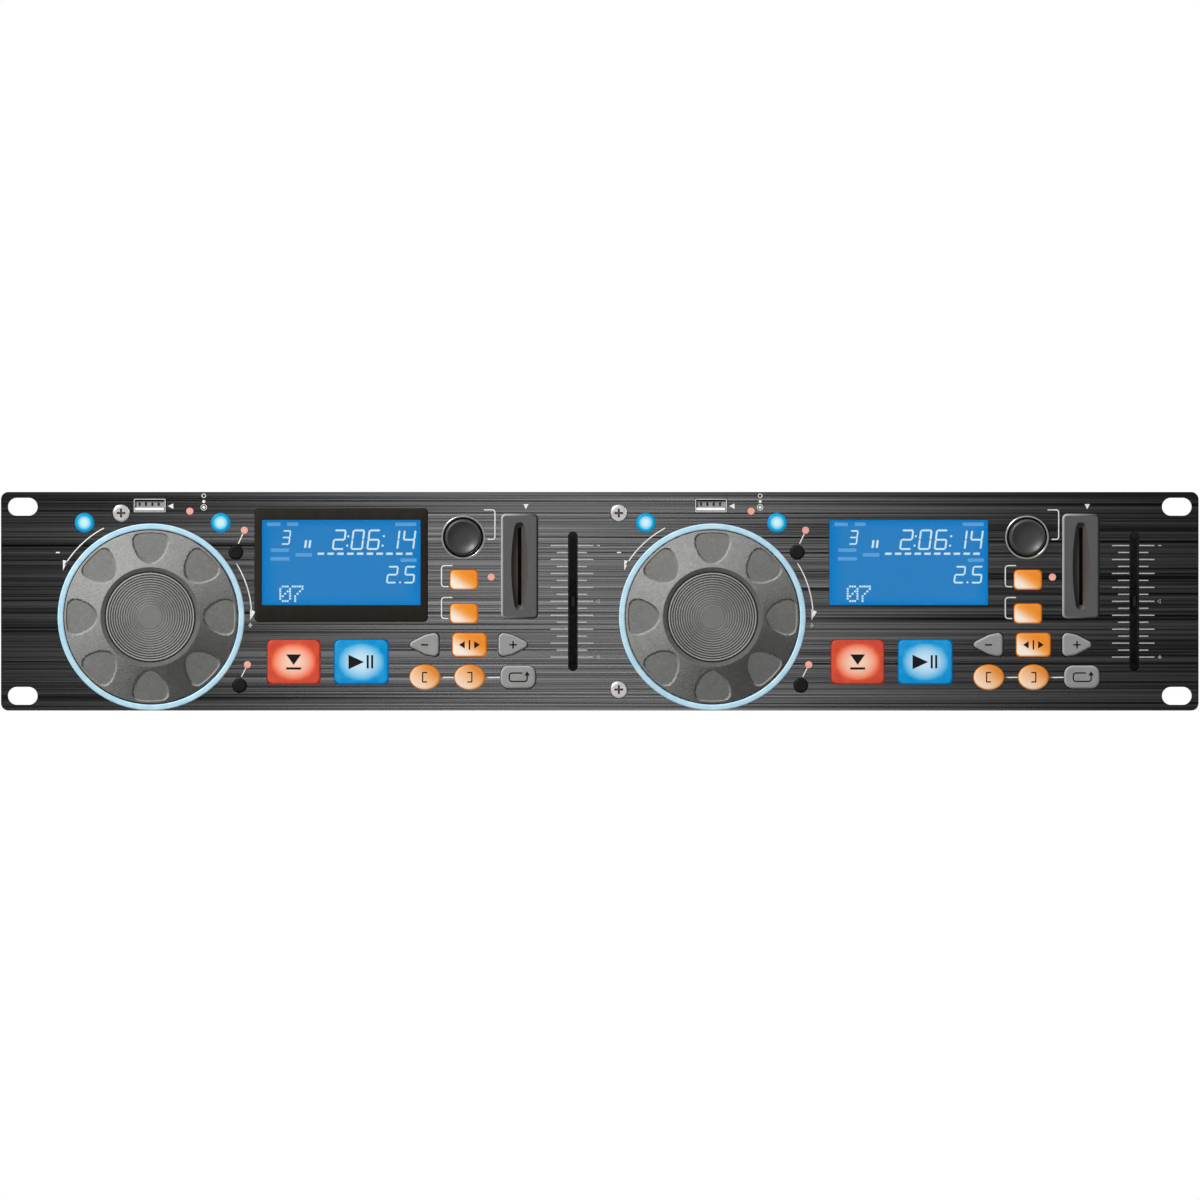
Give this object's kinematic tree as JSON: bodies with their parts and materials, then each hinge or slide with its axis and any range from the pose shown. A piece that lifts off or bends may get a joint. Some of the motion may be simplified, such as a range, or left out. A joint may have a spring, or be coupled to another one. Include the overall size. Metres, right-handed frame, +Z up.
{
  "type": "dual media player",
  "caption": "Two-deck rack media player for disc jockeys: jog wheels, displays, lit keys, search knobs, pitch faders, memory stick and card slots on a two-unit fascia.",
  "frame": {"origin": "centre of the rack-slot pattern, on the fascia's rear face (the face that meets the rack rail)", "axes": "+X to the user's right along the fascia, -Y out of the front towards the user, +Z up"},
  "size_m": [0.4826, 0.1335, 0.0882],
  "materials": {
    "fascia_aluminium": "dark anodised, brushed lengthwise",
    "black_steel": "fine textured powder coat",
    "rubber": "matt",
    "bright_screw": "nickel plated",
    "black_screw": "black oxide",
    "light_ring": "translucent, lit pale blue",
    "brass": "turned",
    "window": "clear acrylic",
    "display_blue": "lit blue display",
    "slot_grey": "moulded, fine grain",
    "socket_steel": "nickel plated",
    "lamp_red": "diffused lamp",
    "fader_steel": "pressed steel",
    "board_green": "solder mask",
    "jack_black": "moulded",
    "black_plastic": "moulded",
    "knob_black": "satin",
    "wheel_grey": "leather-grained paint",
    "disc_grey": "fine grooves, satin",
    "key_blue": "translucent, lit",
    "key_red": "translucent, lit",
    "key_orange": "translucent, lit",
    "key_grey": "satin",
    "key_black": "matt"
  },
  "bodies": {
    "root": {"front_panel": "fascia_aluminium", "chassis": "black_steel", "sub_panel": "black_steel", "rear_panel": "black_steel", "top_cover": "black_steel", "rubber_feet": "rubber", "panel_screws": "bright_screw", "cover_screws": "black_screw", "jog_light_rings": "light_ring", "jog_bearings": "brass", "display_windows": "window", "lcd_modules": "display_blue", "card_slot_bezels": "slot_grey", "usb_sockets": "socket_steel", "indicator_leds": "lamp_red", "pitch_faders": "fader_steel", "control_boards": "board_green", "main_board": "board_green", "power_supply": "board_green", "rear_jacks": "jack_black", "power_inlet": "black_plastic"},
    "left_source_button": {"left_source_button": "key_blue"},
    "left_mode_button": {"left_mode_button": "key_blue"},
    "left_brake_button": {"left_brake_button": "key_black"},
    "left_reverse_button": {"left_reverse_button": "key_black"},
    "left_cue_button": {"left_cue_button": "key_red"},
    "left_play_button": {"left_play_button": "key_blue"},
    "left_single_button": {"left_single_button": "key_orange"},
    "left_time_button": {"left_time_button": "key_orange"},
    "left_pitch_button": {"left_pitch_button": "key_orange"},
    "left_minus_button": {"left_minus_button": "key_grey"},
    "left_plus_button": {"left_plus_button": "key_grey"},
    "left_loop_in_button": {"left_loop_in_button": "key_orange"},
    "left_loop_out_button": {"left_loop_out_button": "key_orange"},
    "left_reloop_button": {"left_reloop_button": "key_grey"},
    "left_encoder_plunger": {"left_encoder_plunger": "black_plastic"},
    "left_search_knob": {"left_search_knob": "knob_black"},
    "left_jog_wheel": {"left_jog_wheel": "wheel_grey", "left_jog_disc": "disc_grey"},
    "left_pitch_slider": {"left_pitch_slider": "black_plastic"},
    "right_source_button": {"right_source_button": "key_blue"},
    "right_mode_button": {"right_mode_button": "key_blue"},
    "right_brake_button": {"right_brake_button": "key_black"},
    "right_reverse_button": {"right_reverse_button": "key_black"},
    "right_cue_button": {"right_cue_button": "key_red"},
    "right_play_button": {"right_play_button": "key_blue"},
    "right_single_button": {"right_single_button": "key_orange"},
    "right_time_button": {"right_time_button": "key_orange"},
    "right_pitch_button": {"right_pitch_button": "key_orange"},
    "right_minus_button": {"right_minus_button": "key_grey"},
    "right_plus_button": {"right_plus_button": "key_grey"},
    "right_loop_in_button": {"right_loop_in_button": "key_orange"},
    "right_loop_out_button": {"right_loop_out_button": "key_orange"},
    "right_reloop_button": {"right_reloop_button": "key_grey"},
    "right_encoder_plunger": {"right_encoder_plunger": "black_plastic"},
    "right_search_knob": {"right_search_knob": "knob_black"},
    "right_jog_wheel": {"right_jog_wheel": "wheel_grey", "right_jog_disc": "disc_grey"},
    "right_pitch_slider": {"right_pitch_slider": "black_plastic"},
    "power_rocker": {"power_rocker": "black_plastic"}
  },
  "joints": [
    {"name": "left_source_press", "type": "slide", "parent": "root", "child": "left_source_button", "axis": [0, 1, 0], "range_m": [0, 0.0006], "stiffness_N_per_m": 400, "springref_m": -0.001},
    {"name": "left_mode_press", "type": "slide", "parent": "root", "child": "left_mode_button", "axis": [0, 1, 0], "range_m": [0, 0.0006], "stiffness_N_per_m": 400, "springref_m": -0.001},
    {"name": "left_brake_press", "type": "slide", "parent": "root", "child": "left_brake_button", "axis": [0, 1, 0], "range_m": [0, 0.0006], "stiffness_N_per_m": 400, "springref_m": -0.001},
    {"name": "left_reverse_press", "type": "slide", "parent": "root", "child": "left_reverse_button", "axis": [0, 1, 0], "range_m": [0, 0.0006], "stiffness_N_per_m": 400, "springref_m": -0.001},
    {"name": "left_cue_press", "type": "slide", "parent": "root", "child": "left_cue_button", "axis": [0, 1, 0], "range_m": [0, 0.001], "stiffness_N_per_m": 400, "springref_m": -0.001},
    {"name": "left_play_press", "type": "slide", "parent": "root", "child": "left_play_button", "axis": [0, 1, 0], "range_m": [0, 0.001], "stiffness_N_per_m": 400, "springref_m": -0.001},
    {"name": "left_single_press", "type": "slide", "parent": "root", "child": "left_single_button", "axis": [0, 1, 0], "range_m": [0, 0.0006], "stiffness_N_per_m": 400, "springref_m": -0.001},
    {"name": "left_time_press", "type": "slide", "parent": "root", "child": "left_time_button", "axis": [0, 1, 0], "range_m": [0, 0.0006], "stiffness_N_per_m": 400, "springref_m": -0.001},
    {"name": "left_pitch_press", "type": "slide", "parent": "root", "child": "left_pitch_button", "axis": [0, 1, 0], "range_m": [0, 0.0006], "stiffness_N_per_m": 400, "springref_m": -0.001},
    {"name": "left_minus_press", "type": "slide", "parent": "root", "child": "left_minus_button", "axis": [0, 1, 0], "range_m": [0, 0.0006], "stiffness_N_per_m": 400, "springref_m": -0.001},
    {"name": "left_plus_press", "type": "slide", "parent": "root", "child": "left_plus_button", "axis": [0, 1, 0], "range_m": [0, 0.0006], "stiffness_N_per_m": 400, "springref_m": -0.001},
    {"name": "left_loop_in_press", "type": "slide", "parent": "root", "child": "left_loop_in_button", "axis": [0, 1, 0], "range_m": [0, 0.0006], "stiffness_N_per_m": 400, "springref_m": -0.001},
    {"name": "left_loop_out_press", "type": "slide", "parent": "root", "child": "left_loop_out_button", "axis": [0, 1, 0], "range_m": [0, 0.0006], "stiffness_N_per_m": 400, "springref_m": -0.001},
    {"name": "left_reloop_press", "type": "slide", "parent": "root", "child": "left_reloop_button", "axis": [0, 1, 0], "range_m": [0, 0.0006], "stiffness_N_per_m": 400, "springref_m": -0.001},
    {"name": "left_search_push", "type": "slide", "parent": "root", "child": "left_encoder_plunger", "axis": [0, 1, 0], "range_m": [0, 0.0006], "stiffness_N_per_m": 600, "springref_m": -0.001},
    {"name": "left_search_turn", "type": "hinge", "parent": "left_encoder_plunger", "child": "left_search_knob", "pos_m": [-0.05505, 0, 0.02575], "axis": [0, 1, 0], "continuous": true},
    {"name": "left_jog_turn", "type": "hinge", "parent": "root", "child": "left_jog_wheel", "pos_m": [-0.18083, 0, -0.00629], "axis": [0, 1, 0], "continuous": true},
    {"name": "left_pitch_slide", "type": "slide", "parent": "root", "child": "left_pitch_slider", "axis": [0, 0, 1], "range_m": [-0.0225, 0.0225]},
    {"name": "right_source_press", "type": "slide", "parent": "root", "child": "right_source_button", "axis": [0, 1, 0], "range_m": [0, 0.0006], "stiffness_N_per_m": 400, "springref_m": -0.001},
    {"name": "right_mode_press", "type": "slide", "parent": "root", "child": "right_mode_button", "axis": [0, 1, 0], "range_m": [0, 0.0006], "stiffness_N_per_m": 400, "springref_m": -0.001},
    {"name": "right_brake_press", "type": "slide", "parent": "root", "child": "right_brake_button", "axis": [0, 1, 0], "range_m": [0, 0.0006], "stiffness_N_per_m": 400, "springref_m": -0.001},
    {"name": "right_reverse_press", "type": "slide", "parent": "root", "child": "right_reverse_button", "axis": [0, 1, 0], "range_m": [0, 0.0006], "stiffness_N_per_m": 400, "springref_m": -0.001},
    {"name": "right_cue_press", "type": "slide", "parent": "root", "child": "right_cue_button", "axis": [0, 1, 0], "range_m": [0, 0.001], "stiffness_N_per_m": 400, "springref_m": -0.001},
    {"name": "right_play_press", "type": "slide", "parent": "root", "child": "right_play_button", "axis": [0, 1, 0], "range_m": [0, 0.001], "stiffness_N_per_m": 400, "springref_m": -0.001},
    {"name": "right_single_press", "type": "slide", "parent": "root", "child": "right_single_button", "axis": [0, 1, 0], "range_m": [0, 0.0006], "stiffness_N_per_m": 400, "springref_m": -0.001},
    {"name": "right_time_press", "type": "slide", "parent": "root", "child": "right_time_button", "axis": [0, 1, 0], "range_m": [0, 0.0006], "stiffness_N_per_m": 400, "springref_m": -0.001},
    {"name": "right_pitch_press", "type": "slide", "parent": "root", "child": "right_pitch_button", "axis": [0, 1, 0], "range_m": [0, 0.0006], "stiffness_N_per_m": 400, "springref_m": -0.001},
    {"name": "right_minus_press", "type": "slide", "parent": "root", "child": "right_minus_button", "axis": [0, 1, 0], "range_m": [0, 0.0006], "stiffness_N_per_m": 400, "springref_m": -0.001},
    {"name": "right_plus_press", "type": "slide", "parent": "root", "child": "right_plus_button", "axis": [0, 1, 0], "range_m": [0, 0.0006], "stiffness_N_per_m": 400, "springref_m": -0.001},
    {"name": "right_loop_in_press", "type": "slide", "parent": "root", "child": "right_loop_in_button", "axis": [0, 1, 0], "range_m": [0, 0.0006], "stiffness_N_per_m": 400, "springref_m": -0.001},
    {"name": "right_loop_out_press", "type": "slide", "parent": "root", "child": "right_loop_out_button", "axis": [0, 1, 0], "range_m": [0, 0.0006], "stiffness_N_per_m": 400, "springref_m": -0.001},
    {"name": "right_reloop_press", "type": "slide", "parent": "root", "child": "right_reloop_button", "axis": [0, 1, 0], "range_m": [0, 0.0006], "stiffness_N_per_m": 400, "springref_m": -0.001},
    {"name": "right_search_push", "type": "slide", "parent": "root", "child": "right_encoder_plunger", "axis": [0, 1, 0], "range_m": [0, 0.0006], "stiffness_N_per_m": 600, "springref_m": -0.001},
    {"name": "right_search_turn", "type": "hinge", "parent": "right_encoder_plunger", "child": "right_search_knob", "pos_m": [0.17214, 0, 0.02575], "axis": [0, 1, 0], "continuous": true},
    {"name": "right_jog_turn", "type": "hinge", "parent": "root", "child": "right_jog_wheel", "pos_m": [0.04536, 0, -0.00629], "axis": [0, 1, 0], "continuous": true},
    {"name": "right_pitch_slide", "type": "slide", "parent": "root", "child": "right_pitch_slider", "axis": [0, 0, 1], "range_m": [-0.0225, 0.0225]},
    {"name": "power_rock", "type": "hinge", "parent": "root", "child": "power_rocker", "pos_m": [0.1485, 0.1095, 0.006], "axis": [1, 0, 0], "range_deg": [0, 18]}
  ]
}
